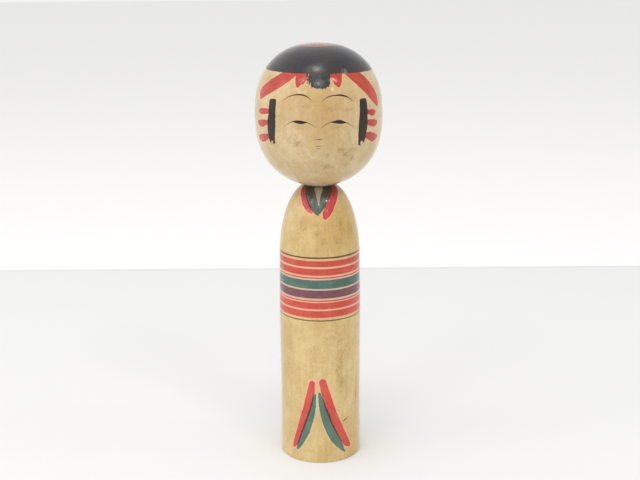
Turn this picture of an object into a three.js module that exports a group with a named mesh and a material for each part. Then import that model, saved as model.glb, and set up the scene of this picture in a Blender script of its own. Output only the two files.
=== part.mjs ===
// A kokeshi doll: a turned wooden torso and a turned wooden head, joined by a peg.
//
// The doll stands on z = 0 with its turning axis on +Z and its face towards -Y. The peg is
// glued into the head. Its lower end is swollen and snaps past the tight mouth of the
// torso's socket, so that the head turns on the torso and can't lift off.
// Every piece is turned on one axis, so each is a lathe profile. All sizes are millimetres.

import * as THREE from "three";

// Driving dimensions. Heights are above the floor.
const HEIGHT = 240; // the trade's size of eight sun
const HEAD_RADIUS = 35.65; // at the head's widest ring
const HEAD_WIDEST = 202; // height of that ring
const NECK_HEIGHT = 161.2; // the flat on top of the torso, which the head sits on
const NECK_RADIUS = 9; // of that flat
const SHOULDER_RADIUS = 23.1; // where the torso's side ends and its dome begins
const SHOULDER_HEIGHT = 122;
const BASE_RADIUS = 23.5;
const PEG_RADIUS = 5.6; // of the plain shank
const PEG_IN_HEAD = 18;
const PEG_IN_TORSO = 20;

// Clearances.
const SEAT_GAP = 0.3; // between the head and the flat that it sits on
const GLUE_LINE = 0.2; // between the peg and the head
const RUNNING_GAP = 0.25; // between the peg and the torso
const BORE_SPARE = 1; // how much deeper each bore is than the peg

// Smaller features.
const SEGMENTS = 60; // round the axis, a multiple of 4 so that the widths come out true
const WAIST_HOLLOW = 0.2; // the side is turned this much thinner a third of the way up
const FOOT_CHAMFER = 0.6;
const DISH_RADIUS = 16.5; // the underside is hollowed inside this radius
const DISH_DEPTH = 0.9;
const SWELL = 0.6; // how far the peg's swollen end stands out from its shank
const SWELL_LENGTH = 8;
const SWELL_TAPER = 1.2; // length of the cone from the swollen end to the shank
const PEG_CHAMFER = 1;
const BORE_POINT = 1.2; // depth of the cone that the bit leaves at the end of a bore

// A rounded end is a superellipse. As t goes from 0 at its widest ring to 1 at its pole,
// the radius falls as (1 - t^rise)^(1/round).
const CROWN = { rise: 2.2, round: 2.38, steps: 12 };
const CHIN = { rise: 2.61, round: 1.88, steps: 12 };
const DOME = { rise: 1.77, round: 2.75, steps: 11 };

const ring = (radius, height) => new THREE.Vector2(radius, height);

// The rings of a rounded end, from its widest ring to the one where it is cut off.
function roundedEnd(widest, cut, { rise, round, steps }) {
  const cutAt = (1 - (cut.x / widest.x) ** round) ** (1 / rise);
  const rings = [];
  for (let i = 0; i <= steps; i++) {
    const t = Math.sin((Math.asin(cutAt) * i) / steps);
    const radius = widest.x * (1 - t ** rise) ** (1 / round);
    rings.push(ring(radius, THREE.MathUtils.lerp(widest.y, cut.y, t / cutAt)));
  }
  rings[0] = widest;
  rings[steps] = cut;
  return rings;
}

// A profile runs up the outside of the wood and down the inside.
function turned(name, profile, material) {
  const geometry = new THREE.LatheGeometry(profile, SEGMENTS).rotateX(Math.PI / 2);
  const mesh = new THREE.Mesh(geometry, material);
  mesh.name = name;
  return mesh;
}

// Heights in this profile are above the floor.
function torsoProfile() {
  const foot = [
    ring(0, DISH_DEPTH),
    ring(DISH_RADIUS * 0.6, DISH_DEPTH * 0.7),
    ring(DISH_RADIUS, 0),
    ring(BASE_RADIUS - FOOT_CHAMFER, 0),
    ring(BASE_RADIUS, FOOT_CHAMFER),
  ];
  const side = [
    ring(BASE_RADIUS - WAIST_HOLLOW, SHOULDER_HEIGHT / 3),
    ring(BASE_RADIUS, (SHOULDER_HEIGHT * 2) / 3),
  ];
  const shoulder = ring(SHOULDER_RADIUS, SHOULDER_HEIGHT);
  const dome = roundedEnd(shoulder, ring(NECK_RADIUS, NECK_HEIGHT), DOME);

  const mouth = PEG_RADIUS + RUNNING_GAP;
  const chamber = mouth + SWELL;
  const pegEnd = NECK_HEIGHT - PEG_IN_TORSO;
  const chamberTop = pegEnd + SWELL_LENGTH + RUNNING_GAP;
  const socket = [
    ring(mouth + PEG_CHAMFER, NECK_HEIGHT),
    ring(mouth, NECK_HEIGHT - PEG_CHAMFER),
    ring(mouth, chamberTop),
    ring(chamber, chamberTop - SWELL_TAPER),
    ring(chamber, pegEnd - BORE_SPARE),
    ring(0, pegEnd - BORE_SPARE - BORE_POINT),
  ];
  return [...foot, ...side, ...dome, ...socket];
}

// Heights in this profile are above the flat on top of the torso.
function headProfile() {
  const widest = ring(HEAD_RADIUS, HEAD_WIDEST - NECK_HEIGHT);
  const chin = roundedEnd(widest, ring(NECK_RADIUS, SEAT_GAP), CHIN).reverse();
  const crown = roundedEnd(widest, ring(0, HEIGHT - NECK_HEIGHT), CROWN).slice(1);

  const bore = PEG_RADIUS + GLUE_LINE;
  const socket = [
    ring(0, PEG_IN_HEAD + BORE_SPARE + BORE_POINT),
    ring(bore, PEG_IN_HEAD + BORE_SPARE),
    ring(bore, SEAT_GAP),
  ];
  return [...socket, ...chin, ...crown];
}

// Heights in this profile are above the flat on top of the torso.
function pegProfile() {
  const swollen = PEG_RADIUS + SWELL;
  const end = -PEG_IN_TORSO;
  return [
    ring(0, end),
    ring(swollen - PEG_CHAMFER, end),
    ring(swollen, end + PEG_CHAMFER),
    ring(swollen, end + SWELL_LENGTH - SWELL_TAPER),
    ring(PEG_RADIUS, end + SWELL_LENGTH),
    ring(PEG_RADIUS, PEG_IN_HEAD - PEG_CHAMFER),
    ring(PEG_RADIUS - PEG_CHAMFER, PEG_IN_HEAD),
    ring(0, PEG_IN_HEAD),
  ];
}

const wood = (color, roughness) =>
  new THREE.MeshStandardMaterial({ color, roughness, metalness: 0 });

const turningHead = new THREE.Group();
turningHead.position.z = NECK_HEIGHT;
turningHead.add(turned("head", headProfile(), wood(0xd2b788, 0.4)));
turningHead.add(turned("neck_peg", pegProfile(), wood(0xc9a877, 0.75)));

const doll = new THREE.Group();
doll.add(turned("torso", torsoProfile(), wood(0xd3b485, 0.4)));
doll.add(turningHead);

export default doll;
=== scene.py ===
"""A painted kokeshi doll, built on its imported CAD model.

Two turned pieces of waxed wood stand for the CAD torso and head. Every colour on them is a
closed film of paint, a few hundredths of a millimetre thick, that follows the turned surface.
Sizes are millimetres until a mesh is made. A place on a turned surface is given as an azimuth
in degrees, 0 at the face and positive towards +X, and a height above the floor.
"""

import math

import bpy
import numpy as np
from mathutils import Matrix, Vector


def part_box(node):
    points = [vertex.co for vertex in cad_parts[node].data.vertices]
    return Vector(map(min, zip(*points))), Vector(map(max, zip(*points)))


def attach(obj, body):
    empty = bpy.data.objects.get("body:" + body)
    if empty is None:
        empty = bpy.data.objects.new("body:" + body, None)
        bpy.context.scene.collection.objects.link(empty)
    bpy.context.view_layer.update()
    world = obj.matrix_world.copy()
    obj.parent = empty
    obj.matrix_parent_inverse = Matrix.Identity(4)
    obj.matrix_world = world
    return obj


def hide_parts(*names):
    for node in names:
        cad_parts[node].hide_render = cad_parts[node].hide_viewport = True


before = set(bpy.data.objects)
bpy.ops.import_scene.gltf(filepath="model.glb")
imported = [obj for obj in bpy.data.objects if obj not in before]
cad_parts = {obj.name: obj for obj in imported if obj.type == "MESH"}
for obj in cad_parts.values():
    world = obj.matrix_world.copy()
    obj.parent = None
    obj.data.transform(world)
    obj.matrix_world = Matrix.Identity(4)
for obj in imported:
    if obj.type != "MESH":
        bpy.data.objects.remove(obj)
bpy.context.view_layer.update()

MM = 0.001

# The lowest and the highest corner of each CAD node, in millimetres.
_, TORSO_HIGH = (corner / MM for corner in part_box("torso"))
HEAD_LOW, HEAD_HIGH = (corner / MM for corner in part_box("head"))
PEG_LOW, PEG_HIGH = (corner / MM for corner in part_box("neck_peg"))

PAINT_ROOM = 0.08  # the wood lies this far inside the CAD solid, so that its paint does too
NECK_RADIUS = 9
HEAD_RADIUS = HEAD_HIGH.x - PAINT_ROOM
HEAD_WIDEST = 202  # height of the head's widest ring
CROWN = HEAD_HIGH.z - PAINT_ROOM
BASE_RADIUS = TORSO_HIGH.x - PAINT_ROOM
NECK_HEIGHT = TORSO_HIGH.z
SHOULDER_HEIGHT = 122
FOOT_ROUNDING = 0.7
# (radius, height): the rings between which the torso's side swells and narrows.
SIDE = [
    (BASE_RADIUS, FOOT_ROUNDING),
    (BASE_RADIUS - 0.2, 41),
    (BASE_RADIUS, 82),
    (BASE_RADIUS - 0.4, SHOULDER_HEIGHT),
]
SEGMENTS = 256  # round each turned piece
CROWN_TIP = 0.25  # radius of the last ring in the crown's curve

# The underside of the foot.
DISH_RADIUS = 16.5  # it is hollowed inside this radius
DISH_DEPTH = 0.9
CENTRE_HOLE = 1.4  # radius of the pit that the lathe's centre left
FLAT_RING = 1.6  # this far in from the side, a ring keeps the shading of the flat level
TOOL_MARKS = 0.05  # half the depth of the tool's rings
PRONG_AZIMUTH = 20  # of one of the four prongs that drove the wood
PRONG_FROM = 4.2  # radius at which a prong's slot begins
PRONG_TO = 8.8
PRONG_DEPTH = 1.3
PRONG_HALF_WIDTH = 0.72
PRONG_SLOPE = 0.45  # width of a slot's sloping side

# The hidden joint.
PEG_SWELL = 0.6  # how far the peg's swollen end stands out from its shank
SWELL_LENGTH = 8
SWELL_TAPER = 1.2
RUNNING_GAP = 0.25  # between the peg and the torso
GLUE_LINE = 0.2  # between the peg and the head
MOUTH_CHAMFER = 1
SEAT_RING = 1  # this far from the head's bore, a ring keeps the shading of its seat level
BORE_SPARE = 1  # how much deeper each bore is than the peg
BORE_POINT = 1.2  # depth of the cone that the bit leaves at the end of a bore
BORE_TIP = 0.2  # radius of the smallest ring in that cone

# How far a film's face stands off the wood. Films that cross each other differ.
HAIR_LIFT = 0.02
PAINT_LIFT = 0.03
FACE_LIFT = 0.035
MARK_LIFT = 0.04
CAP_LIFT = 0.045
SINK = 0.05  # how deep a film's underside is buried in the wood
EDGE_WANDER = 0.05  # how far a painted ring's edges stray
PATCH_STEP = 0.4  # between the points of a brushed film's grid
LINE_MARGIN = 0.3  # bare rim of a fine line's film, on each side
CURVE_STEPS = 12  # points to each span of a stroke
STROKE_SHIFT = 40  # moves the bristle pattern on, so that no two strokes share it
FAR_OUTSIDE = -99.0  # stands for a place that no stroke reaches


# -------------------- turned surfaces


def unevenness(azimuth, run, radius):
    """How far hand sanding leaves the surface off a true turning."""
    around = np.radians(azimuth)
    waves = 0.012 * np.sin(run / 2.3 + 2 * np.sin(around)) + 0.012 * np.sin(run / 4.1 - 3 * around)
    waves += 0.010 * np.sin(run / 1.7 + 7 * around)
    return waves * np.clip(radius / 6, 0, 1) * np.clip(run / 4 - 0.5, 0, 1)


class Turning:
    """The outside of a turned piece, from the bottom of its profile to the top."""

    def __init__(self, profile):
        self.radius, self.height = np.array(profile, float).T
        steps = np.hypot(np.diff(self.radius), np.diff(self.height))
        self.run = np.concatenate([[0], np.cumsum(steps)])

    def run_at(self, height):
        return np.interp(height, self.height, self.run)

    def radius_at(self, run):
        return np.interp(run, self.run, self.radius)

    def height_at(self, run):
        return np.interp(run, self.run, self.height)

    def height_on_top(self, radius):
        """The height of the ring of this radius, on the part above the widest ring."""
        top = slice(self.radius.argmax(), None)
        return np.interp(-radius, -self.radius[top], self.height[top])

    def points(self, azimuth, run, lift=0.0):
        """Points on the surface, or lifted off it along its normal, in metres."""
        reach = 0.4
        across = self.radius_at(run + reach) - self.radius_at(run - reach)
        up = self.height_at(run + reach) - self.height_at(run - reach)
        length = np.hypot(across, up)
        radius = self.radius_at(run)
        offset = lift + unevenness(azimuth, run, radius)
        radius = radius + offset * up / length
        height = self.height_at(run) - offset * across / length
        return cylindrical(azimuth, radius, height)


def cylindrical(azimuth, radius, height):
    around = np.radians(azimuth)
    place = np.broadcast_arrays(radius * np.sin(around), -radius * np.cos(around), height)
    return np.stack(place, -1) * MM


def rounded_end(widest, cut, rise, rounding, steps):
    """Rings of a superellipse from its widest ring to the ring where it is cut off."""
    (wide_radius, wide_height), (cut_radius, cut_height) = widest, cut
    cut_at = (1 - (cut_radius / wide_radius) ** rounding) ** (1 / rise)
    t = np.sin(math.asin(cut_at) * np.arange(1, steps) / steps)
    radius = wide_radius * (1 - t**rise) ** (1 / rounding)
    height = wide_height + (cut_height - wide_height) * t / cut_at
    return [widest, *zip(radius, height), cut]


def side_rings():
    """The torso's straight side, which swells and narrows by a fraction of a millimetre."""
    rings = []
    for (radius, height), (next_radius, next_height) in zip(SIDE, SIDE[1:]):
        for t in np.arange(0, 1, 1 / 32):
            ease = t * t * (3 - 2 * t)
            rings.append((radius + (next_radius - radius) * ease, height + (next_height - height) * t))
    return rings


def torso_outside():
    foot = []
    for turn in np.linspace(0, math.pi / 2, 7)[:-1]:
        inward, upward = 1 - math.sin(turn), 1 - math.cos(turn)
        foot.append((BASE_RADIUS - FOOT_ROUNDING * inward, FOOT_ROUNDING * upward))
    neck = (NECK_RADIUS, NECK_HEIGHT - PAINT_ROOM)
    dome = rounded_end(SIDE[-1], neck, rise=1.77, rounding=2.75, steps=54)
    return Turning(foot + side_rings() + dome)


def head_outside():
    widest = (HEAD_RADIUS, HEAD_WIDEST)
    neck = (NECK_RADIUS, HEAD_LOW.z)
    chin = rounded_end(widest, neck, rise=2.61, rounding=1.88, steps=72)
    crown = rounded_end(widest, (CROWN_TIP, CROWN), rise=2.2, rounding=2.38, steps=72)
    return Turning(chin[::-1] + crown[1:])


TORSO = torso_outside()
HEAD = head_outside()


# -------------------- meshes


def new_mesh(name, points, faces, fields):
    """An object with smooth shading, split at sharp edges, and named values on its vertices."""
    mesh = bpy.data.meshes.new(name)
    mesh.from_pydata(points.reshape(-1, 3).tolist(), [], faces)
    for field, values in fields.items():
        flat = np.ascontiguousarray(values, np.float32)
        if flat.ndim > 1 and flat.shape[-1] == 3:
            attribute = mesh.attributes.new(field, "FLOAT_VECTOR", "POINT")
            attribute.data.foreach_set("vector", flat.ravel())
        else:
            attribute = mesh.attributes.new(field, "FLOAT", "POINT")
            attribute.data.foreach_set("value", flat.ravel())
    mesh.polygons.foreach_set("use_smooth", [True] * len(mesh.polygons))
    mesh.set_sharp_from_angle(angle=math.radians(35))
    mesh.update()
    piece = bpy.data.objects.new(name, mesh)
    bpy.context.scene.collection.objects.link(piece)
    return piece


def strip(low, high):
    """Faces between two rows of vertex numbers, facing out where the second row is above."""
    return [(a, b, c, d) for a, b, c, d in zip(low, low[1:], high[1:], high)]


def turned_solid(name, below, turning, above, cuts=None):
    """A closed solid: rings below the outside, the outside itself, and rings above it."""
    azimuth = np.arange(SEGMENTS) * 360 / SEGMENTS
    rings = []
    for radius, height in below:
        sunk = cuts(azimuth, radius) if cuts else 0
        rings.append(cylindrical(azimuth, radius, height + sunk + np.zeros(SEGMENTS)))
    rings += [turning.points(azimuth, np.full(SEGMENTS, run)) for run in turning.run]
    rings += [cylindrical(azimuth, radius, np.full(SEGMENTS, height)) for radius, height in above]
    poles = [cylindrical(0, 0, below[0][1]), cylindrical(0, 0, above[-1][1])]
    points = np.concatenate([*rings, np.array(poles).reshape(2, 3)])

    count = len(rings)
    wrapped = [[row * SEGMENTS + i % SEGMENTS for i in range(SEGMENTS + 1)] for row in range(count)]
    faces = []
    for low, high in zip(wrapped, wrapped[1:]):
        faces += strip(low, high)
    first, last = count * SEGMENTS, count * SEGMENTS + 1
    faces += [(first, b, a) for a, b in zip(wrapped[0], wrapped[0][1:])]
    faces += [(last, a, b) for a, b in zip(wrapped[-1], wrapped[-1][1:])]
    stain_and_shade = stains_and_shade(turning, np.degrees(np.arctan2(points[:, 0], -points[:, 1])), points[:, 2] / MM)
    return new_mesh(name, points, faces, {"stain_and_shade": stain_and_shade})


def film(name, turning, azimuth, run, lift, fields, wrap=False):
    """A closed sheet of paint. Azimuth grows along the grid's columns and run along its rows."""
    rows, columns = azimuth.shape
    points = np.stack([turning.points(azimuth, run, lift), turning.points(azimuth, run, -SINK)])
    number = np.arange(points[..., 0].size).reshape(2, rows, columns)
    if wrap:
        number = np.concatenate([number, number[:, :, :1]], axis=2)
    top, under = number.tolist()
    faces = []
    for row in range(rows - 1):
        faces += strip(top[row], top[row + 1])
        faces += strip(under[row + 1], under[row])
    faces += strip(under[0], top[0])
    faces += strip(top[-1], under[-1])
    if not wrap:
        faces += strip([row[0] for row in top], [row[0] for row in under])
        faces += strip([row[-1] for row in under], [row[-1] for row in top])
    fields = dict(fields, stain_and_shade=stains_and_shade(turning, azimuth, turning.height_at(run)))
    return new_mesh(name, points, faces, {key: np.stack([value] * 2) for key, value in fields.items()})


# -------------------- brushwork


def sampled(turning, stroke):
    """A stroke's places as azimuth, run and its other values, on one smooth curve."""
    knots = np.array(stroke, float)
    knots[:, 1] = turning.run_at(knots[:, 1])
    knots = np.vstack([2 * knots[0] - knots[1], knots, 2 * knots[-1] - knots[-2]])
    curve = []
    for p0, p1, p2, p3 in zip(knots, knots[1:], knots[2:], knots[3:]):
        for t in np.arange(CURVE_STEPS) / CURVE_STEPS:
            bend = 2 * p0 - 5 * p1 + 4 * p2 - p3 + t * (3 * p1 - p0 - 3 * p2 + p3)
            curve.append(p1 + t / 2 * (p2 - p0 + t * bend))
    return np.array(curve + [knots[-2]])


def directions(turning, curve):
    """Unit steps along a curve, in millimetres round and up the surface, and its length so far."""
    millimetres = np.radians(1) * turning.radius_at(curve[:, 1])
    steps = np.stack([np.gradient(curve[:, 0]) * millimetres, np.gradient(curve[:, 1])], -1)
    size = np.hypot(*steps.T)
    length = np.concatenate([[0], np.cumsum((size[1:] + size[:-1]) / 2)])
    return steps / np.maximum(size, 1e-6)[:, None], length


def brushwork(turning, azimuth, run, strokes):
    """Where each grid point lies in the stroke that it is deepest inside.

    Returns millimetres along the stroke, across it and inside its edge, and how many are left
    to its end. A stroke is a list of (azimuth, height, width).
    """
    inside = np.full(azimuth.shape, FAR_OUTSIDE)
    along, across, left = np.zeros_like(inside), np.zeros_like(inside), np.zeros_like(inside)
    millimetres = np.radians(1) * turning.radius_at(run)[..., None]
    for number, stroke in enumerate(strokes):
        curve = sampled(turning, stroke)
        step, length = directions(turning, curve)
        round_it = (azimuth[..., None] - curve[:, 0]) * millimetres
        up_it = run[..., None] - curve[:, 1]
        depth = curve[:, 2] / 2 - np.hypot(round_it, up_it)
        nearest = depth.argmax(-1)[..., None]
        at_nearest = (np.take_along_axis(grid, nearest, -1) for grid in (depth, round_it, up_it))
        depth, round_it, up_it = (grid[..., 0] for grid in at_nearest)
        nearest = nearest[..., 0]
        forward = round_it * step[nearest, 0] + up_it * step[nearest, 1]
        sideways = round_it * step[nearest, 1] - up_it * step[nearest, 0]
        deeper = depth > inside
        inside = np.where(deeper, depth, inside)
        along = np.where(deeper, length[nearest] + forward + STROKE_SHIFT * number, along)
        across = np.where(deeper, sideways, across)
        left = np.where(deeper, length[-1] - length[nearest] - forward, left)
    return np.stack([along, across, inside], -1), left


def patch(name, turning, azimuths, heights, lift, layers):
    """A film over part of a surface that holds several colours of brushwork."""
    runs = turning.run_at(np.array(heights))
    middle = math.radians(1) * turning.radius_at(runs.mean())
    columns = int((azimuths[1] - azimuths[0]) * middle / PATCH_STEP) + 1
    rows = int((runs[1] - runs[0]) / PATCH_STEP) + 1
    azimuth, run = np.meshgrid(np.linspace(*azimuths, columns), np.linspace(*runs, rows))
    fields = {}
    for colour, strokes in layers.items():
        fields[colour], fields[colour + "_left"] = brushwork(turning, azimuth, run, strokes)
    return film(name, turning, azimuth, run, lift, fields)


def line(name, turning, points, lift):
    """A fine stroke of ink as a film of its own.

    Each point is (azimuth, height, half thickness), with a fourth number where the line is
    thicker below its curve than above.
    """
    curve = sampled(turning, [point + point[-1:] * (4 - len(point)) for point in points])
    step, length = directions(turning, curve)
    above, below = curve[:, 2:].T
    shares = np.array([0.25, 0.5, 0.75])
    rows = [-above - LINE_MARGIN, -above, -above / 2, 0 * above]
    rows += [below * share for share in shares] + [below, below + LINE_MARGIN]
    across = np.array(rows).T
    inside = np.minimum(across + above[:, None], below[:, None] - across)
    millimetres = np.radians(1) * turning.radius_at(curve[:, 1])[:, None]
    azimuth = curve[:, :1] + across * step[:, 1:] / millimetres
    run = curve[:, 1:2] - across * step[:, :1]
    along = np.repeat(length[:, None], across.shape[1], 1)
    fields = {"ink": np.stack([along, across, inside], -1), "ink_left": length[-1] - along}
    return film(name, turning, azimuth, run, lift, fields)


def ring(name, turning, heights, lift, tilt=0.0):
    """A painted ring with edges that stray a little. A tilt lowers its lower edge towards +X."""
    azimuth = np.arange(SEGMENTS) * 360 / SEGMENTS
    around = np.radians(azimuth)
    runs = turning.run_at(np.array(heights, float))
    rows = max(3, int((runs[1] - runs[0]) / 0.8) + 2)
    seed = sum(heights)
    edges = []
    for number, run in enumerate(runs):
        phase = seed * (number + 1)
        wave = np.sin(3 * around + phase) + np.sin(7 * around - 2 * phase)
        wave += np.sin(19 * around + phase) / 2
        edges.append(run + EDGE_WANDER * wave / 2)
    low, high = edges
    low = low - tilt * np.sin(around)
    share = np.linspace(0, 1, rows)[:, None]
    run = low + (high - low) * share
    inside = np.minimum(run - low, high - run)
    azimuth = np.broadcast_to(azimuth, run.shape)
    return film(name, turning, azimuth, run, lift, {"edge": inside}, wrap=True)


# -------------------- marks of age

# (azimuth, height, half width, half length, strength): soft dark patches on the wood, which are stains,
# and round the torso's neck painted shade.
HEAD_STAINS = [
    (-18, 190, 2.4, 1.3, 0.55),
    (-21, 189.4, 2, 1.8, 0.35),
    (7.5, 183.2, 0.9, 1.6, 0.9),
    (7, 176.4, 1.9, 1.2, 0.9),
    (3, 178, 4, 1.6, 0.3),
    (20, 186.2, 2.2, 1, 0.8),
    (26, 183.4, 1.9, 1.7, 0.9),
    (30, 185.8, 1.1, 0.8, 0.8),
    (33, 180.6, 1.2, 1.8, 0.7),
    (28, 177.4, 1.4, 1.2, 0.7),
    (15, 176, 1, 1, 0.6),
    (-10, 173.6, 3.6, 1.6, 0.3),
    (12, 172.5, 3, 1.4, 0.4),
    (10, 208.5, 3, 1.2, 0.45),
    (27, 207.6, 1.8, 0.8, 0.6),
    (33, 213.4, 2.2, 1.2, 0.45),
    (-10, 210, 2.4, 1, 0.4),
    (-33, 206, 1.4, 4, 0.3),
    (17, 198.8, 3.6, 1, 0.45),
    (-17, 198.9, 3.6, 1, 0.4),
    (-62, 183, 5, 4, 0.35),
    (48, 224, 3.4, 1.8, 0.7),
    (-58, 222.4, 4, 1.6, 0.5),
    (120, 190, 6, 5, 0.5),
    (-150, 205, 5, 4, 0.5),
    (165, 181, 4, 3, 0.6),
]
TORSO_STAINS_AND_SHADE = [
    # The first four darken the top of the torso all round the neck. They are painted shade, where the
    # head shades the shoulders.
    (0, 161.2, 12, 4.6, 1.4),
    (90, 161.2, 12, 4.6, 1.1),
    (-90, 161.2, 12, 4.6, 1),
    (180, 161.2, 12, 4.6, 1),
    (5, 133, 1, 1.6, 0.8),
    (-4, 137.5, 1.6, 1.6, 0.55),
    (-6, 142.5, 2, 1.6, 0.5),
    (-2, 128.5, 1.4, 1.2, 0.6),
    (36, 141, 1.4, 4, 0.5),
    (52, 138, 2.4, 4, 0.5),
    (28, 133, 1.4, 2, 0.4),
    (-30, 141, 3.6, 5, 0.35),
    (-44, 134, 2.4, 3, 0.35),
    (26, 60, 1.2, 26, 0.45),
    (31, 55, 1, 18, 0.4),
    (20, 74, 1, 10, 0.3),
    (8, 76.5, 1.6, 1.4, 0.6),
    (16, 77, 1.4, 1.4, 0.5),
    (29, 74.5, 1.6, 1.4, 0.5),
    (-8, 71, 1.4, 2, 0.35),
    (-38, 80, 2, 3, 0.35),
    (40, 62, 0.5, 0.5, 1.2),
    (33, 49, 2, 3, 0.35),
    (-28, 31, 1.2, 1, 0.6),
    (150, 60, 5, 9, 0.5),
    (-120, 100, 4, 7, 0.4),
    (-160, 28, 3, 12, 0.5),
    (105, 140, 3, 5, 0.5),
]


def stains_and_shade(turning, azimuth, height):
    """How dark the wood is at a place, from the stains and the painted shade listed for its piece."""
    total = np.zeros(np.shape(azimuth))
    spots = HEAD_STAINS if turning is HEAD else TORSO_STAINS_AND_SHADE
    for spot, level, half_width, half_length, strength in spots:
        sideways = (np.asarray(azimuth) - spot + 180) % 360 - 180
        sideways = np.radians(sideways) * turning.radius_at(turning.run_at(level))
        distance = np.hypot(sideways / half_width, (height - level) / half_length)
        total += strength * np.exp(-(distance**2))
    return total


# -------------------- materials


def srgb(red, green, blue):
    """A colour from its 8-bit screen values."""
    channels = [c / 255 for c in (red, green, blue)]
    return tuple(c / 12.92 if c <= 0.04045 else ((c + 0.055) / 1.055) ** 2.4 for c in channels) + (1.0,)


# Each piece's own wood: where its pith lies, how much grain shows, its colours, and the
# middle and reach of the part that has mellowed most.
HEAD_WOOD = {
    "pith": (46.0, 31.0, 0.0),
    "grain": 0.3,
    "pale": srgb(211, 188, 147),
    "deep": srgb(199, 171, 124),
    "grey": srgb(195, 171, 124),
    "specks": 0.8,
    "mellow": srgb(182, 143, 85),
    "mellow_middle": (3.0, -34.0, 208.0),
    "mellow_reach": 30.0,
}
TORSO_WOOD = {
    "pith": (66.0, 31.0, 0.0),
    "grain": 0.6,
    "pale": srgb(214, 188, 134),
    "deep": srgb(201, 170, 112),
    "grey": srgb(198, 171, 117),
    "specks": 0.7,
    "mellow": srgb(190, 152, 86),
    "mellow_middle": (16.0, -17.0, 138.0),
    "mellow_reach": 34.0,
}
STAIN_AND_SHADE_TINT = srgb(190, 178, 146)
SPECKED = srgb(142, 128, 100)
PINK_TINGE = srgb(222, 173, 140)
PALE_TINGE = srgb(200, 176, 162)
BARE_WOOD = srgb(188, 150, 98)
NO_DYE = (1.0, 1.0, 1.0, 1.0)


class Shader:
    """Builds one material. Each call adds a node and gives back the socket to use next."""

    def __init__(self, name):
        self.material = bpy.data.materials.new(name)
        self.material.use_nodes = True
        self.tree = self.material.node_tree
        self.tree.nodes.clear()
        self.places = self.node("ShaderNodeTexCoord", {}).outputs["Object"]
        self.places = self.scaled(self.places, (1 / MM,) * 3)

    def node(self, kind, inputs, **settings):
        node = self.tree.nodes.new(kind)
        for key, value in settings.items():
            setattr(node, key, value)
        for key, value in inputs.items():
            if isinstance(value, bpy.types.NodeSocket):
                self.tree.links.new(value, node.inputs[key])
            else:
                node.inputs[key].default_value = value
        return node

    def scaled(self, vector, factors):
        return self.node("ShaderNodeVectorMath", {0: vector, 1: factors}, operation="MULTIPLY").outputs[0]

    def math(self, operation, first, second=0.0, clamp=False):
        node = self.node("ShaderNodeMath", {0: first, 1: second}, operation=operation, use_clamp=clamp)
        return node.outputs[0]

    def product(self, first, *others):
        for other in others:
            first = self.math("MULTIPLY", first, other)
        return first

    def fade(self, value, low, high, start=0.0, end=1.0):
        """From start to end, smoothly, as the value goes from low to high."""
        inputs = {"Value": value, "From Min": low, "From Max": high, "To Min": start, "To Max": end}
        return self.node("ShaderNodeMapRange", inputs, interpolation_type="SMOOTHSTEP").outputs[0]

    def noise(self, factors, detail=3.0, roughness=0.55, vector=None):
        """Noise, where a factor is how many lumps there are to a millimetre along that axis."""
        inputs = {"Vector": self.scaled(vector or self.places, factors), "Scale": 1.0}
        inputs.update({"Detail": detail, "Roughness": roughness})
        return self.node("ShaderNodeTexNoise", inputs).outputs["Fac"]

    def mix(self, share, first, second, blend="MIX"):
        inputs = {0: share, 6: first, 7: second}
        return self.node("ShaderNodeMix", inputs, data_type="RGBA", blend_type=blend).outputs[2]

    def distance(self, first, second):
        node = self.node("ShaderNodeVectorMath", {0: first, 1: second}, operation="DISTANCE")
        return node.outputs["Value"]

    def split(self, vector):
        return self.node("ShaderNodeSeparateXYZ", {0: vector}).outputs

    def joined(self, x, y, z=0.0):
        return self.node("ShaderNodeCombineXYZ", {0: x, 1: y, 2: z}).outputs[0]

    def field(self, name, output):
        return self.node("ShaderNodeAttribute", {}, attribute_name=name).outputs[output]

    def bump(self, height, depth, under=None):
        """A normal from heights of 0 to 1 that stand for so many millimetres."""
        inputs = {"Height": height, "Strength": 1.0, "Distance": depth * MM}
        if under is not None:
            inputs["Normal"] = under
        return self.node("ShaderNodeBump", inputs).outputs[0]

    def finish(self, colour, roughness, normal, coat=0.0, coat_normal=None):
        inputs = {"Base Color": colour, "Roughness": roughness, "Normal": normal}
        inputs.update({"Specular IOR Level": 0.1, "Coat Weight": coat})
        inputs.update({"Coat Roughness": 0.1, "Coat IOR": 1.4})
        inputs.update({"Sheen Weight": 0.05, "Sheen Roughness": 0.3})
        if coat_normal is not None:
            inputs["Coat Normal"] = coat_normal
        surface = self.node("ShaderNodeBsdfPrincipled", inputs)
        output = self.node("ShaderNodeOutputMaterial", {})
        self.tree.links.new(surface.outputs[0], output.inputs["Surface"])
        return self.material


def wood_grain(sh, wood):
    """Fibres and year rings that run along Z: a factor on the colour, and heights."""
    x, y, _ = sh.split(sh.places)
    fibres = sh.noise((1.6, 1.6, 0.06), detail=5, roughness=0.6)
    threads = sh.noise((5.0, 5.0, 0.5), detail=2)
    warp = sh.noise((0.045, 0.045, 0.012), detail=2)
    from_pith = sh.distance(sh.joined(x, y), wood["pith"])
    years = sh.math("ADD", from_pith, sh.product(warp, 16.0))
    rings = sh.math("SINE", sh.product(years, 2.1))

    grain = wood["grain"]
    shade = sh.product(
        sh.fade(fibres, 0.3, 0.7, 1 - 0.07 * grain, 1 + 0.06 * grain),
        sh.fade(threads, 0.35, 0.7, 1 + 0.02 * grain, 1 - 0.03 * grain),
        sh.fade(rings, -1.0, 1.0, 1 - 0.03 * grain, 1 + 0.02 * grain),
    )
    height = sh.math("ADD", sh.product(fibres, 0.5), sh.product(threads, 0.5))
    return shade, height


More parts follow.
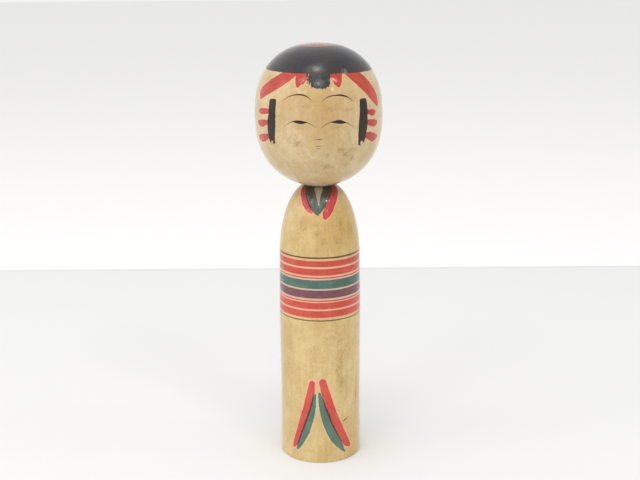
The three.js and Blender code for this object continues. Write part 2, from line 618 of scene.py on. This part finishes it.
def wood_colour(sh, wood):
    """Old, even-grained wood with its patina, stains, painted shade under the head, and specks."""
    patches = sh.noise((0.075, 0.075, 0.05), detail=4, roughness=0.6)
    colour = sh.mix(sh.fade(patches, 0.38, 0.62), wood["pale"], wood["deep"])
    greying = sh.noise((0.22, 0.22, 0.17), detail=4, roughness=0.65)
    colour = sh.mix(sh.fade(greying, 0.44, 0.66, 0.0, 0.75), colour, wood["grey"])
    from_middle = sh.distance(sh.places, wood["mellow_middle"])
    colour = sh.mix(sh.fade(from_middle, 0.0, wood["mellow_reach"], 0.62, 0.0), colour, wood["mellow"])
    mottle = sh.noise((0.9, 0.9, 0.7), detail=4, roughness=0.7)
    shade, height = wood_grain(sh, wood)
    shade = sh.product(shade, sh.fade(mottle, 0.32, 0.68, 0.94, 1.05))
    colour = sh.mix(1.0, colour, sh.joined(shade, shade, shade), "MULTIPLY")

    flecks = sh.noise((1.1, 1.1, 0.8), detail=4, roughness=0.65)
    where = sh.noise((0.06, 0.06, 0.05), detail=2)
    scattered = sh.product(sh.fade(flecks, 0.55, 0.74), sh.fade(where, 0.42, 0.62, 0.15, 0.7))
    # Stains, and the painted shade under the head, darken the wood here.
    stained_and_shaded = sh.product(sh.field("stain_and_shade", "Fac"), sh.fade(flecks, 0.38, 0.64, 0.35, 1.0))
    colour = sh.mix(sh.math("ADD", scattered, stained_and_shaded, clamp=True), colour, STAIN_AND_SHADE_TINT, "MULTIPLY")

    specks = sh.noise((1.5, 1.5, 1.2), detail=2)
    crowd = sh.noise((0.10, 0.10, 0.10), detail=2)
    specks = sh.math("ADD", specks, sh.product(sh.field("stain_and_shade", "Fac"), 0.06))
    dark = sh.product(sh.fade(specks, 0.69, 0.77), sh.fade(crowd, 0.40, 0.60, 0.15, 1.0), wood["specks"])
    colour = sh.mix(dark, colour, SPECKED, "MULTIPLY")
    return colour, height


def tinged(sh, colour, tint, low, high, share):
    """Dye that crept into the wood between the rings leaves it tinted."""
    z = sh.split(sh.places)[2]
    inside = sh.product(sh.fade(z, low, low + 0.8), sh.fade(z, high - 0.8, high, 1.0, 0.0), share)
    return sh.mix(inside, colour, tint)


def waxed(sh, colour, height, paint=None):
    """A satin wax finish over wood. Where there is paint the raised grain crinkles it."""
    normal = sh.bump(height, 0.012)
    rubbed = sh.noise((0.12, 0.12, 0.12), detail=3)
    ripple = sh.noise((0.50, 0.50, 0.26), detail=2)
    coat_normal = sh.bump(ripple, 0.08)
    if paint is not None:
        relief = sh.product(paint, sh.noise((1.2, 1.2, 0.34), detail=1, roughness=0.5))
        coat_normal = sh.bump(relief, 0.07, coat_normal)
    return sh.finish(colour, sh.fade(rubbed, 0.3, 0.7, 0.42, 0.58), normal, 1.0, coat_normal)


def dyed(sh, colour, dye, share):
    """Wood seen through dye. Dye filters the light, so where two dyes overlap it is darker."""
    return sh.mix(1.0, colour, sh.mix(share, NO_DYE, dye), "MULTIPLY")


def brushed(sh, field, load, ragged, dry_end=0.0, middle=1.0, soft=0.08):
    """How much dye a brush left at a place: 0 outside its stroke, and streaked within it."""
    along, across, inside = sh.split(sh.field(field, "Vector"))
    left = sh.field(field + "_left", "Fac")
    bristles = sh.noise((0.10, 2.0, 1.0), detail=3, vector=sh.joined(along, across))
    creep = sh.noise((2.2, 2.2, 1.1), detail=3)
    sway = sh.noise((0.35, 0.35, 0.35), detail=1)
    wobble = sh.math("ADD", sh.math("ADD", creep, bristles), sh.math("ADD", sway, sway))
    wobble = sh.product(sh.math("SUBTRACT", wobble, 2.0), ragged)
    covered = sh.fade(sh.math("ADD", inside, wobble), -soft, soft)
    if dry_end:
        dryness = sh.fade(left, 0.0, dry_end, 0.36, 0.0)
        covered = sh.product(covered, sh.fade(sh.math("ADD", bristles, dryness), 0.70, 0.82, 1.0, 0.0))
    pooled = sh.fade(inside, 0.1, 1.1, 1.0, middle)
    return sh.product(covered, sh.fade(bristles, 0.3, 0.7, *load), pooled), inside


def dye_on(wood, *painted):
    """The filter that turns bare wood into the painted colour, which is in 8-bit values."""
    return tuple(min(1.0, p / w) for p, w in zip(srgb(*painted)[:3], wood["pale"][:3])) + (1.0,)


RED = dye_on(TORSO_WOOD, 205, 60, 58)
RED_FADED = dye_on(TORSO_WOOD, 199, 86, 70)
GREEN = dye_on(TORSO_WOOD, 54, 104, 102)
GREEN_FADED = dye_on(TORSO_WOOD, 90, 108, 94)
PURPLE = dye_on(TORSO_WOOD, 108, 60, 86)
PURPLE_FADED = dye_on(TORSO_WOOD, 122, 80, 82)
HEM_CORAL = dye_on(TORSO_WOOD, 204, 58, 58)
HEM_SAGE = dye_on(TORSO_WOOD, 64, 112, 106)
COLLAR_PINK = dye_on(TORSO_WOOD, 200, 48, 74)
COLLAR_SAGE = dye_on(TORSO_WOOD, 68, 97, 98)
# A darkening filter, for the painted shade under the chin.
CHIN_SHADE_FILTER = (0.70, 0.52, 0.66, 1.0)
LINE_BROWN = dye_on(TORSO_WOOD, 92, 62, 6)
HEAD_RED = dye_on(HEAD_WOOD, 186, 30, 40)
# The same red, deeper: painted shade for the strokes on the +X side, where the room is darker.
HEAD_RED_SHADED_SIDE = dye_on(HEAD_WOOD, 186, 8, 12)
CROWN_RED = dye_on(HEAD_WOOD, 148, 64, 60)
LOCK_BLACK = dye_on(HEAD_WOOD, 38, 22, 12)
FORELOCK_INK = dye_on(HEAD_WOOD, 44, 46, 58)
FACE_INK = dye_on(HEAD_WOOD, 40, 22, 0)
BLUE_BLACK = dye_on(HEAD_WOOD, 40, 44, 58)
BROWN_BLACK = dye_on(HEAD_WOOD, 54, 50, 50)

# Dye that crept into the bare wood beside a stroke: (tint, millimetres that it reaches, share).
# A wash is a stroke that leaves such a tint and nothing else.
RED_BLEED = (srgb(234, 166, 136), 1.8, 0.7)
GREEN_BLEED = (srgb(194, 198, 162), 1.6, 0.4)
HAIR_BLEED = (srgb(224, 172, 140), 1.5, 0.4)
HEM_TINT = (srgb(184, 202, 172), 1.3, 0.85)
COLLAR_TINT = (srgb(158, 138, 128), 0.8, 0.9)

# How a colour goes on with a brush: its load from thin to thick, and how ragged its edges are.
# A brush may run dry over its last millimetres, leave only a share in the middle of a stroke,
# where the dye has drawn out to the edges, or have edges that fade over so many millimetres.
DYE_BRUSH = {"load": (0.86, 1.0), "ragged": 0.30, "middle": 0.96}
HAIR_BRUSH = {"load": (0.985, 1.0), "ragged": 0.35, "dry_end": 1.4}
FACE_BRUSH = {"load": (1.0, 1.0), "ragged": 0.05}
# This soft brush lays the painted shade under the chin.
SHADE_BRUSH = {"load": (0.9, 1.0), "ragged": 0.3, "soft": 1.4}
GRIME_BRUSH = {"load": (0.5, 1.0), "ragged": 0.16}


def wood_material(name, wood, tinges=()):
    sh = Shader(name)
    colour, height = wood_colour(sh, wood)
    for tinge in tinges:
        colour = tinged(sh, colour, *tinge)
    return waxed(sh, colour, height)


def ring_material(name, wood, dye, faded, strength=1.0):
    """A ring laid on with a brush held against the turning wood, so that its streaks go round."""
    sh = Shader(name)
    colour, height = wood_colour(sh, wood)
    streaks = sh.noise((0.05, 0.05, 3.2), detail=4, roughness=0.6)
    clouds = sh.noise((0.16, 0.16, 0.30), detail=4, roughness=0.6)
    speckle = sh.noise((1.3, 1.3, 1.3), detail=3)
    edge = sh.fade(sh.field("edge", "Fac"), 0.0, 0.25, 0.80, 1.0)
    faint = sh.fade(clouds, 0.45, 0.70, 0.0, 0.8)
    fainter = sh.fade(speckle, 0.45, 0.75, 0.0, 0.3)
    worn = sh.math("ADD", faint, fainter, clamp=True)
    amount = sh.product(sh.fade(streaks, 0.3, 0.7, 0.90, 1.0), edge, strength)
    colour = dyed(sh, colour, sh.mix(worn, dye, faded), amount)
    return waxed(sh, colour, height, amount)


def brushed_material(name, wood, layers):
    """Wood with brushwork on it. A layer is (field, dye, brush, bleed). A wash has no dye.

    Dye bleeds into bare wood only, because a tint under another dye would muddy it.
    """
    sh = Shader(name)
    colour, height = wood_colour(sh, wood)
    painted = 0.0
    dyes = []
    bleeds = []
    for field, dye, brush, bleed in layers:
        amount, inside = brushed(sh, field, **brush)
        if bleed:
            bleeds.append((inside, *bleed))
        if dye:
            dyes.append((dye, amount))
            painted = sh.math("MAXIMUM", painted, amount)
    bare = sh.math("SUBTRACT", 1.0, painted)
    for inside, tint, reach, share in bleeds:
        spread = sh.product(sh.fade(inside, -reach, 0.2, 0.0, share), bare)
        colour = sh.mix(spread, colour, tint)
    for dye, amount in dyes:
        colour = dyed(sh, colour, dye, amount)
    return waxed(sh, colour, height, painted)


def cap_material(name):
    """Black ink that has greyed and let some brown of the wood through."""
    sh = Shader(name)
    colour, height = wood_colour(sh, HEAD_WOOD)
    streaks = sh.noise((0.05, 0.05, 2.2), detail=4, roughness=0.6)
    clouds = sh.noise((0.10, 0.10, 0.10), detail=4)
    ink = sh.mix(sh.fade(clouds, 0.35, 0.65), BROWN_BLACK, BLUE_BLACK)
    amount = sh.fade(streaks, 0.3, 0.7, 0.985, 1.0)
    return waxed(sh, dyed(sh, colour, ink, amount), height, amount)


def bare_material(name):
    """Turned wood without wax, with the tool's fine rings left in it."""
    sh = Shader(name)
    colour, height = wood_colour(sh, TORSO_WOOD)
    tool = sh.noise((0.02, 0.02, 3.0), detail=2)
    colour = sh.mix(0.35, colour, BARE_WOOD)
    normal = sh.bump(tool, 0.05, sh.bump(height, 0.03))
    return sh.finish(colour, 0.7, normal)


# -------------------- pieces

# Each stroke begins where the brush was put down.
FRINGE_RED = [
    [
        (-26, 227.2, 5.4), (-33, 224.9, 7.2), (-42, 221.8, 7.8),
        (-52, 218.6, 7.6), (-59, 216.3, 6.6), (-63, 214.9, 5.4),
    ],
    [(-52, 216.8, 3.6), (-59, 213.6, 2.4), (-64.2, 211.9, 1.2)],
    [
        (32, 227.8, 6.4), (40, 224.6, 8), (47, 221, 8.6), (54, 216.8, 8),
        (59, 213.2, 7), (62.4, 210.2, 4.6), (63.6, 207.8, 1.6),
    ],
    [(-18, 227, 6.4), (-17.6, 224.6, 6.2), (-18.6, 222.2, 4.2), (-19.8, 219.6, 0.8)],
    [(-14.2, 226.4, 4.4), (-14.4, 223.6, 3), (-14.9, 220.9, 0.6)],
    [(18.5, 227, 7.4), (18.2, 224.6, 6.4), (18.6, 222.2, 4.6), (19.2, 219.4, 0.8)],
]
SIDE_TUFTS_RED = [
    [(-47, 205.8, 2.4), (-54, 205.6, 3.2), (-60, 205.2, 3.2), (-63.5, 205.2, 2.4)],
    [(-47, 200.2, 1.6), (-54, 199.4, 3), (-60, 198.6, 4), (-65, 198.6, 2.8), (-68, 199, 1.2)],
    [(-47, 192.9, 1.8), (-54, 191.6, 3.4), (-61, 190.4, 4.4), (-66, 190.2, 3), (-69, 190.6, 1.4)],
    [(45, 205.3, 2.4), (50, 205, 2.9), (55, 204.5, 3.4), (58, 204.4, 2.4)],
    [(45, 200.1, 2), (50, 199.4, 3.2), (56, 198.6, 4.2), (60, 198.6, 3), (62.3, 199, 1.4)],
    [(44, 193.6, 2.2), (50, 192.2, 4), (57, 190.8, 4.8), (61.5, 190.4, 3.2), (64.5, 191, 1.4)],
]
SIDE_LOCKS_BLACK = [
    [(-46.4, 211.4, 2.8), (-46.6, 205, 3.2), (-48, 199, 3.4), (-48.2, 194, 3), (-47.8, 188.6, 2)],
    [(-44.4, 211, 3.8), (-44.7, 205, 4.4), (-45.6, 199, 5), (-46.2, 194, 4.6), (-46.3, 189.6, 2.6)],
    [(-42.4, 211.6, 2.6), (-42.7, 205, 3), (-43.2, 199, 3.2), (-44, 194, 3.2), (-44.6, 188, 2)],
    [(40.6, 211.4, 2.6), (40.3, 205, 3.2), (39.4, 199, 3.2), (39.2, 194, 3), (39, 187.4, 1.6)],
    [(42.8, 211, 3.8), (42.6, 205, 4.6), (41.9, 199, 5.2), (41.6, 194, 4.6), (41.2, 189.4, 2.4)],
    [(44.8, 211.4, 2.6), (45, 205, 3.2), (44.4, 199, 3.6), (43.8, 194, 3.2), (43.2, 188.6, 1.8)],
]
FORELOCK_BLACK = [
    [(-11.9, 227.5, 0.4), (-12.2, 224, 0.4), (-11.8, 221.2, 0.2)],
    [(-10.4, 227.5, 0.5), (-10.7, 224, 0.5), (-10.4, 220.8, 0.25)],
    [(-8.4, 227.5, 1), (-8.7, 223, 1), (-8.4, 220.2, 0.4)],
    [(-5.8, 227.5, 1.9), (-5.8, 222, 1.9), (-5.4, 219.2, 0.8)],
    [(-3, 227.5, 2.4), (-3, 221, 2.3), (-2.6, 218.7, 1.1)],
    [(0, 227.5, 2.6), (0, 221, 2.5), (0.4, 218.4, 1.3)],
    [(3, 227.5, 2.6), (3, 221, 2.5), (3.4, 218.3, 1.4)],
    [(6, 227.5, 2.6), (6, 221.5, 2.6), (6.2, 218.5, 1.4)],
    [(8.8, 227.5, 2.4), (8.8, 222, 2.2), (8.4, 219.2, 1.1)],
    [(10.5, 227.5, 1.6), (10.5, 223.5, 1.4), (10, 220.8, 0.8)],
]
HEM_RED = [
    [
        (-11.8, 49.6, 3), (-13.6, 45, 4.2), (-15.9, 40, 4.7), (-18.9, 35, 4.8), (-22.5, 30, 4.8),
        (-26.4, 25, 4.6), (-30.6, 20, 4.2), (-34.9, 15, 3.8), (-39.4, 10.4, 3.2), (-41.6, 8.6, 2.2),
    ],
    [
        (3, 50.1, 4), (6.3, 45, 4.8), (9.4, 40, 5.2), (12.6, 35, 5.5), (17, 30, 5.5), (21.8, 25, 5.6),
        (27.4, 20, 5.4), (33.5, 15, 5.1), (39.6, 10.6, 4.2), (44.8, 8.4, 2.2),
    ],
]
HEM_GREEN = [
    [
        (-8, 42.4, 1.2), (-9.3, 40, 2.2), (-11, 35, 3.3), (-13.7, 30, 4.1), (-17.4, 25, 4.5),
        (-21.5, 20, 4.8), (-26.7, 15, 4.2), (-32.2, 10, 3), (-35.6, 7.4, 1.4),
    ],
    [
        (-1.6, 43.2, 1.4), (0, 40, 2.7), (2.8, 35, 4), (6, 30, 4.9), (9.8, 25, 5.3), (14.6, 20, 5.6),
        (20.6, 15, 5.4), (28.2, 10, 3.7), (32.8, 7, 2), (37.2, 4.8, 0.5),
    ],
]
# Thinned dye that has run between the two green strokes of the collar, and of the hem. Here
# and below, a stroke whose width falls under zero fades out before its end.
COLLAR_WASH = [[(-0.5, 161, 4.4), (0, 157.5, 3), (-0.5, 154.5, 1.8), (-0.8, 151.5, 0.6)]]
HEM_WASH = [[(-4.9, 43, 0.2), (-5, 38, 0.9), (-5.6, 33, 0.2), (-6.2, 27, -2.4)]]
COLLAR_RED = [
    [(-58, 160.8, 3.4), (-38, 156.4, 3.6), (-27.5, 153, 3.7), (-19.5, 150.4, 3), (-14, 148.9, 1.8)],
    [
        (60, 160.8, 4), (36.5, 156.9, 4.8), (24.5, 153.5, 5.2),
        (16.8, 150, 5), (12.2, 147.8, 4.2), (10, 146.2, 2.8),
    ],
]
COLLAR_GREEN = [
    [(-33, 161, 5.4), (-18.6, 156.5, 5.6), (-10, 152, 4.8), (-6.2, 149.4, 3), (-2, 147.3, 1)],
    [(31, 161, 5.4), (15.4, 157.4, 5), (9.4, 155.2, 4.4), (4.6, 152, 3.6), (-0.4, 148.8, 2)],
]
# Under the chin the collar's strokes are darkened: painted shade, where the head shades them.
COLLAR_CHIN_SHADE = [
    [(-60, 160.9, 2.6), (-40, 156.9, 1.4), (-29, 153.6, -3)],
    [(62, 160.9, 3), (39, 157.5, 2), (26, 154, -3)],
    [(-35, 161, 4.4), (-20, 156.9, 3.6), (-11, 152.4, -3)],
    [(33, 161, 4.4), (16.8, 157.7, 3.4), (8, 154.5, -3)],
]

# Fine lines. Their points are as line() takes them.
FACE_LINES = {
    "brow_left": [
        (-34, 212, 0.06), (-29, 213.9, 0.15), (-24, 215.2, 0.24), (-18, 215.8, 0.4),
        (-12.5, 215.4, 0.36), (-8.5, 214.2, 0.2), (-5, 212.6, 0.06),
    ],
    "brow_right": [
        (2, 211.8, 0.06), (6, 213.9, 0.18), (10, 214.9, 0.24), (15, 215.3, 0.31),
        (20, 215.3, 0.45), (24.5, 214.6, 0.38), (28, 213.5, 0.24), (31.5, 212, 0.08),
    ],
    "eye_left": [
        (-31.5, 198.4, 0.05), (-27, 200.4, 0.12), (-23, 201.6, 0.16, 0.3), (-20, 202.1, 0.2, 1.2),
        (-16.5, 202.2, 0.2, 1.7), (-13, 201.9, 0.2, 1.3), (-10, 201.4, 0.16, 0.3), (-7, 200.5, 0.12),
        (-3, 199, 0.05),
    ],
    "eye_right": [
        (2, 198.6, 0.05), (6, 200.4, 0.13), (10.5, 201.5, 0.18, 0.28), (14, 202, 0.22, 1.2),
        (17.8, 202.3, 0.22, 1.9), (21.5, 201.6, 0.22, 1.3), (24.5, 200.8, 0.16, 0.28), (27, 199.8, 0.12),
        (31, 198.2, 0.05),
    ],
    "nose": [(-3.4, 192.6, 0.05), (-1.5, 192.4, 0.15), (1, 192.4, 0.18), (3.6, 192.9, 0.06)],
    "upper_lip": [(-3.4, 188.8, 0.04), (0, 188.6, 0.13), (3.2, 188.8, 0.04)],
    "lower_lip": [(-1.6, 187.5, 0.04), (0, 187.4, 0.13), (1.6, 187.5, 0.04)],
}
# Marks in the wood, drawn the same way.
TORSO_MARKS = {
    "drying_check": [(64, 54, 0.06), (63, 47, 0.18), (61.6, 39, 0.24), (59.6, 32, 0.12)],
    "scuff": [(34, 24.4, 0.2), (36.5, 25, 0.5), (38.5, 25.4, 0.5, 0.45), (40.5, 26.2, 0.15)],
    "nick": [(-57.4, 34.6, 0.04), (-58.2, 32.6, 0.18), (-59.4, 31, 0.08)],
}
# What each colour of ring is made with: (fresh dye, worn dye, material slot).
RING_DYES = {
    "red": (RED, RED_FADED, "red_dye"),
    "green": (GREEN, GREEN_FADED, "green_dye"),
    "purple": (PURPLE, PURPLE_FADED, "purple_dye"),
    "brown": (LINE_BROWN, LINE_BROWN, "black_ink"),
}
# (name, lowest and highest place, how strong its dye is)
RINGS = [
    ("red_ring_1", (118.6, 122.1), 1),
    ("red_ring_2", (113.65, 117.55), 1),
    ("red_line_1", (111.95, 112.7), 1),
    ("green_ring", (105.95, 111.05), 1),
    ("purple_ring", (100.35, 105.05), 1),
    ("red_line_2", (98.5, 99.25), 1),
    ("red_ring_3", (94.05, 97.85), 1),
    ("red_ring_4", (89.05, 93.1), 1),
    ("brown_line_upper", (123.35, 124.3), 1),
    ("brown_line_lower", (86.95, 87.65), 0.95),
]
# (tint, lowest and highest place, how much of it shows)
TORSO_TINGES = [(PINK_TINGE, 88, 123.3, 0.85), (PALE_TINGE, 99.2, 112.4, 0.9)]
HAIRLINE = 226.15
HAIRLINE_TILT = 0.45
CROWN_DISC = 10.5  # radius
CAP_HOLE = 10.85  # radius
# Where each film of brushwork reaches: (azimuths, heights). The collar's stops just under the
# torso's flat top.
HAIR_REACH = ((-76, 76), (184.5, 227.5))
HEM_REACH = ((-54, 56), (2, 54))
COLLAR_REACH = ((-100, 100), (143, NECK_HEIGHT - PAINT_ROOM - 0.02))


def place(piece, body, slot, material, *nodes):
    piece.data.materials.append(material)
    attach(piece, body)
    if nodes:
        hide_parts(*nodes)


def underside_cuts(azimuth, radius):
    """The lathe's marks under the foot: tool rings, and slots left by four driving prongs."""
    rings = TOOL_MARKS * (1 + math.sin(radius * 5.2)) * (1 - (radius / BASE_RADIUS) ** 4)
    from_prong = np.radians((azimuth + 45 - PRONG_AZIMUTH) % 90 - 45) * radius
    slot = np.clip((PRONG_HALF_WIDTH - np.abs(from_prong)) / PRONG_SLOPE, 0, 1)
    reach = min(1, max(0, radius - PRONG_FROM), max(0, PRONG_TO - radius))
    return rings + PRONG_DEPTH * slot * reach


def underside():
    """Rings from the middle of the hollow underside out to the flat that the doll stands on."""
    rings = []
    for radius in np.concatenate([np.linspace(0.2, CENTRE_HOLE, 5), np.linspace(1.8, DISH_RADIUS, 38)]):
        share = radius / DISH_RADIUS
        dish = DISH_DEPTH * (1 - share**2) + 0.06 * (1 - share)
        rings.append((radius, dish + max(0, CENTRE_HOLE - radius)))
    rings.append((BASE_RADIUS - FLAT_RING, 0.0))
    return rings


def build_torso():
    mouth = PEG_HIGH.x - PEG_SWELL + RUNNING_GAP
    chamber = PEG_HIGH.x + RUNNING_GAP
    chamber_top = PEG_LOW.z + SWELL_LENGTH + RUNNING_GAP
    end = PEG_LOW.z - BORE_SPARE
    socket = [
        (mouth + MOUTH_CHAMFER, NECK_HEIGHT - PAINT_ROOM),
        (mouth, NECK_HEIGHT - MOUTH_CHAMFER),
        (mouth, chamber_top),
        (chamber, chamber_top - SWELL_TAPER),
        (chamber, end),
        (BORE_TIP, end - BORE_POINT),
    ]
    torso = turned_solid("torso_turned", underside(), TORSO, socket, underside_cuts)
    place(torso, "torso", "torso_wood", wood_material("torso_wood", TORSO_WOOD, TORSO_TINGES), "torso")


def build_head():
    bore = PEG_HIGH.x - PEG_SWELL + GLUE_LINE
    end = PEG_HIGH.z + BORE_SPARE
    seat = HEAD_LOW.z
    socket = [(BORE_TIP, end + BORE_POINT), (bore, end), (bore, seat), (bore + SEAT_RING, seat)]
    head = turned_solid("head_turned", socket, HEAD, [(CROWN_TIP * 0.4, CROWN)])
    place(head, "head", "head_wood", wood_material("head_wood", HEAD_WOOD), "head")


def build_rings():
    for name, heights, strength in RINGS:
        piece = ring(name, TORSO, heights, PAINT_LIFT)
        dye, faded, slot = RING_DYES[name.split("_")[0]]
        place(piece, "torso", slot, ring_material(name, TORSO_WOOD, dye, faded, strength))


def build_cap():
    cap = ring("cap", HEAD, (HAIRLINE, HEAD.height_on_top(CAP_HOLE)), CAP_LIFT, HAIRLINE_TILT)
    place(cap, "head", "black_ink", cap_material("cap"))
    disc = ring("crown_disc", HEAD, (HEAD.height_on_top(CROWN_DISC), HEAD.height[-1]), PAINT_LIFT)
    place(disc, "head", "red_dye", ring_material("crown_disc", HEAD_WOOD, CROWN_RED, CROWN_RED))


def build_hair():
    reds = FRINGE_RED + SIDE_TUFTS_RED
    layers = {
        "red": [stroke for stroke in reds if stroke[0][0] < 0],
        # The strokes at +X get the deeper red, as painted shade for that side.
        "red_shaded_side": [stroke for stroke in reds if stroke[0][0] > 0],
        "lock": SIDE_LOCKS_BLACK,
        "forelock": FORELOCK_BLACK,
    }
    hair = patch("hair_and_ribbons", HEAD, *HAIR_REACH, HAIR_LIFT, layers)
    looks = [
        ("red", HEAD_RED, DYE_BRUSH, HAIR_BLEED),
        ("red_shaded_side", HEAD_RED_SHADED_SIDE, DYE_BRUSH, HAIR_BLEED),
        ("lock", LOCK_BLACK, HAIR_BRUSH, None),
        ("forelock", FORELOCK_INK, HAIR_BRUSH, None),
    ]
    place(hair, "head", "red_dye", brushed_material("hair_and_ribbons", HEAD_WOOD, looks))


def build_face():
    ink = brushed_material("face_ink", HEAD_WOOD, [("ink", FACE_INK, FACE_BRUSH, None)])
    for name, points in FACE_LINES.items():
        place(line(name, HEAD, points, FACE_LIFT), "head", "black_ink", ink)


def build_marks():
    grime = brushed_material("grime", TORSO_WOOD, [("ink", LINE_BROWN, GRIME_BRUSH, None)])
    for name, points in TORSO_MARKS.items():
        place(line(name, TORSO, points, MARK_LIFT), "torso", "torso_wood", grime)


def build_hem():
    layers = {"wash": HEM_WASH, "red": HEM_RED, "green": HEM_GREEN}
    hem = patch("hem", TORSO, *HEM_REACH, PAINT_LIFT, layers)
    looks = [
        ("wash", None, DYE_BRUSH, HEM_TINT),
        ("green", HEM_SAGE, DYE_BRUSH, GREEN_BLEED),
        ("red", HEM_CORAL, DYE_BRUSH, RED_BLEED),
    ]
    place(hem, "torso", "red_dye", brushed_material("hem", TORSO_WOOD, looks))


def build_collar():
    layers = {
        "wash": COLLAR_WASH,
        "red": COLLAR_RED,
        "green": COLLAR_GREEN,
        "chin_shade": COLLAR_CHIN_SHADE,
    }
    collar = patch("collar", TORSO, *COLLAR_REACH, PAINT_LIFT, layers)
    looks = [
        ("wash", None, DYE_BRUSH, COLLAR_TINT),
        ("green", COLLAR_SAGE, DYE_BRUSH, None),
        ("red", COLLAR_PINK, DYE_BRUSH, RED_BLEED),
        # painted shade under the chin, over the strokes
        ("chin_shade", CHIN_SHADE_FILTER, SHADE_BRUSH, None),
    ]
    place(collar, "torso", "green_dye", brushed_material("collar", TORSO_WOOD, looks))


def build_peg():
    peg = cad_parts["neck_peg"]
    peg.data.materials.clear()
    peg.data.materials.append(bare_material("neck_peg"))


# -------------------- stage, light and camera

CAMERA_DISTANCE = 0.6097
CAMERA_HEIGHT = 0.2895
CAMERA_PITCH = math.radians(14.815)
CAMERA_YAW = math.radians(0.026)
CAMERA_ROLL = math.radians(-0.4)
FOCAL_LENGTH = 61.85
WALL_FOOT = 0.38  # how far behind the doll the floor meets the backdrop
FLOOR_SIZE = 12.0
FLOOR_NEAR = (0.795, 0.802, 0.812, 1)
FLOOR_BEYOND = (0.93, 0.93, 0.922, 1)
FLOOR_MOTTLE = (0.86, 0.86, 0.86, 1)
FLOOR_LINE = (0.68, 0.68, 0.69, 1)
ROOM_LIGHT = (0.90, 0.897, 0.888, 1)
LAMP_LIGHT = (1.0, 0.97, 0.93)
LAMP_TARGET = Vector((0, 0, 0.18))


def build_camera():
    data = bpy.data.cameras.new("camera")
    data.lens = FOCAL_LENGTH
    data.clip_start = 0.01
    camera = bpy.data.objects.new("camera", data)
    bpy.context.scene.collection.objects.link(camera)
    pitch, yaw, roll = CAMERA_PITCH, CAMERA_YAW, CAMERA_ROLL
    forward = Vector((math.sin(yaw) * math.cos(pitch), math.cos(yaw) * math.cos(pitch), -math.sin(pitch)))
    level = Vector((math.cos(yaw), -math.sin(yaw), 0))
    upright = level.cross(forward)
    right = math.cos(roll) * level + math.sin(roll) * upright
    up = math.cos(roll) * upright - math.sin(roll) * level
    turned = Matrix((right, up, -forward)).transposed().to_4x4()
    camera.matrix_world = Matrix.Translation((0, -CAMERA_DISTANCE, CAMERA_HEIGHT)) @ turned
    bpy.context.scene.camera = camera


def build_floor():
    """A pale floor, with a faint line where the backdrop's foot lies on it."""
    mesh = bpy.data.meshes.new("floor")
    side = FLOOR_SIZE / 2
    outline = [(-side, -side, 0), (side, -side, 0), (side, side, 0), (-side, side, 0)]
    mesh.from_pydata(outline, [], [(0, 1, 2, 3)])
    floor = bpy.data.objects.new("floor", mesh)
    bpy.context.scene.collection.objects.link(floor)
    sh = Shader("floor")
    y = sh.split(sh.places)[1]
    near_line = sh.math("ABSOLUTE", sh.math("SUBTRACT", y, WALL_FOOT / MM))
    beyond = sh.fade(y, WALL_FOOT / MM, WALL_FOOT / MM + 3)
    colour = sh.mix(beyond, FLOOR_NEAR, FLOOR_BEYOND)
    grain = sh.noise((0.02, 0.02, 0.02), detail=3)
    colour = sh.mix(sh.fade(grain, 0.3, 0.7, 0.0, 0.05), colour, FLOOR_MOTTLE)
    colour = sh.mix(sh.fade(near_line, 0.0, 5.0, 0.5, 0.0), colour, FLOOR_LINE)
    floor.data.materials.append(sh.finish(colour, 0.9, sh.bump(grain, 0.01)))


def aim(thing, azimuth, elevation, distance, target):
    """Puts a light where its azimuth and elevation say, facing the target."""
    azimuth, elevation = math.radians(azimuth), math.radians(elevation)
    level = math.cos(elevation)
    way = Vector((level * math.sin(azimuth), -level * math.cos(azimuth), math.sin(elevation)))
    thing.location = target + way * distance
    thing.rotation_euler = way.to_track_quat("Z", "Y").to_euler()


# (azimuth, elevation, distance and diameter in metres, watts). The small ones make the glints.
LIGHTS = [
    (-72, 22, 1.5, 0.70, 2.4),
    (-27, 27, 1.6, 0.12, 0.30),
    (-37, 26, 1.6, 0.14, 0.38),
    (-46, 28, 1.6, 0.12, 0.30),
    (-56, 24, 1.6, 0.12, 0.26),
    (1, 41, 1.6, 0.12, 0.35),
    (0, 43, 1.6, 0.46, 1.5),
    (39, 45, 1.6, 0.07, 0.7),
    (80, 51, 1.6, 0.08, 0.7),
    (-6, 72, 1.4, 0.26, 1.2),
    (-8, 68, 1.4, 0.80, 2.0),
    (28, 31, 1.6, 0.12, 0.35),
    (34, 46, 1.6, 0.30, 1.1),
    (-36, 45, 1.6, 0.30, 1.1),
]


def build_lights():
    world = bpy.data.worlds.new("studio")
    world.use_nodes = True
    tree = world.node_tree
    background = tree.nodes["Background"]
    background.inputs["Color"].default_value = ROOM_LIGHT
    # The room is lighter on the doll's right hand side, at -X.
    ways = tree.nodes.new("ShaderNodeTexCoord").outputs["Generated"]
    split = tree.nodes.new("ShaderNodeSeparateXYZ")
    across = tree.nodes.new("ShaderNodeMapRange")
    for key, value in {"From Min": -1.0, "From Max": 1.0, "To Min": 1.10, "To Max": 0.84}.items():
        across.inputs[key].default_value = value
    tree.links.new(ways, split.inputs[0])
    tree.links.new(split.outputs[0], across.inputs["Value"])
    tree.links.new(across.outputs[0], background.inputs["Strength"])
    bpy.context.scene.world = world
    for number, (azimuth, elevation, distance, diameter, watts) in enumerate(LIGHTS):
        data = bpy.data.lights.new(f"lamp_{number}", "AREA")
        data.shape = "DISK"
        data.size = diameter
        data.energy = watts
        data.color = LAMP_LIGHT
        lamp = bpy.data.objects.new(data.name, data)
        bpy.context.scene.collection.objects.link(lamp)
        lamp.visible_camera = False
        aim(lamp, azimuth, elevation, distance, LAMP_TARGET)
    bpy.context.scene.view_settings.view_transform = "Standard"


build_camera()
build_floor()
build_lights()
build_torso()
build_head()
build_peg()
build_rings()
build_cap()
build_hair()
build_face()
build_hem()
build_collar()
build_marks()
